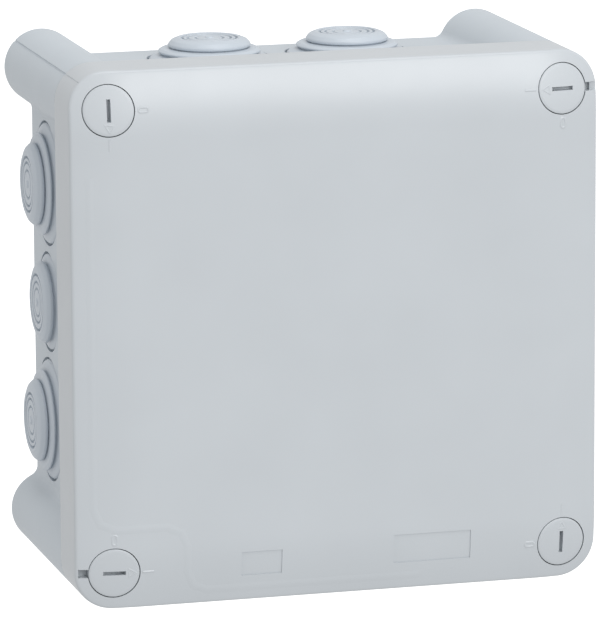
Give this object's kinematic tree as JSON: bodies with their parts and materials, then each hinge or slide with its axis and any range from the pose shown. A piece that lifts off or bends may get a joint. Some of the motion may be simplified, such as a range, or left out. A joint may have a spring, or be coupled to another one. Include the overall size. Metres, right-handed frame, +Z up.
{
  "type": "electrical junction box",
  "caption": "Square surface-mounted electrical junction box: deep housing with corner posts and stepped cable-entry grommets, sealed lid with quarter-turn screws.",
  "frame": {"origin": "centre of the back face, in the plane of the wall", "axes": "+X right as seen from the front, +Z up, +Y into the wall; the lid faces -Y"},
  "size_m": [0.13, 0.074, 0.13],
  "materials": {
    "housing_plastic": "satin moulded",
    "lid_plastic": "satin moulded",
    "screw_plastic": "satin moulded",
    "grommet_rubber": "soft matte",
    "seal_rubber": "soft matte"
  },
  "bodies": {
    "base": {"housing": "housing_plastic", "grommet_left_upper": "grommet_rubber", "grommet_left_middle": "grommet_rubber", "grommet_left_lower": "grommet_rubber", "grommet_right_upper": "grommet_rubber", "grommet_right_middle": "grommet_rubber", "grommet_right_lower": "grommet_rubber", "grommet_top_left": "grommet_rubber", "grommet_top_right": "grommet_rubber", "grommet_bottom_left": "grommet_rubber", "grommet_bottom_right": "grommet_rubber"},
    "lid": {"lid": "lid_plastic", "lid_seal": "seal_rubber"},
    "screw_top_left": {"lid_screw_top_left": "screw_plastic"},
    "screw_top_right": {"lid_screw_top_right": "screw_plastic"},
    "screw_bottom_left": {"lid_screw_bottom_left": "screw_plastic"},
    "screw_bottom_right": {"lid_screw_bottom_right": "screw_plastic"}
  },
  "joints": [
    {"name": "lid_lift", "type": "slide", "parent": "base", "child": "lid", "axis": [0, -1, 0], "range_m": [0, 0.05]},
    {"name": "screw_turn_top_left", "type": "hinge", "parent": "lid", "child": "screw_top_left", "pos_m": [-0.0558, -0.0729, 0.0558], "axis": [0, -1, 0], "range_deg": [0, 90]},
    {"name": "screw_turn_top_right", "type": "hinge", "parent": "lid", "child": "screw_top_right", "pos_m": [0.0558, -0.0729, 0.0558], "axis": [0, -1, 0], "range_deg": [0, 90]},
    {"name": "screw_turn_bottom_left", "type": "hinge", "parent": "lid", "child": "screw_bottom_left", "pos_m": [-0.0558, -0.0729, -0.0558], "axis": [0, -1, 0], "range_deg": [0, 90]},
    {"name": "screw_turn_bottom_right", "type": "hinge", "parent": "lid", "child": "screw_bottom_right", "pos_m": [0.0558, -0.0729, -0.0558], "axis": [0, -1, 0], "range_deg": [0, 90]}
  ]
}
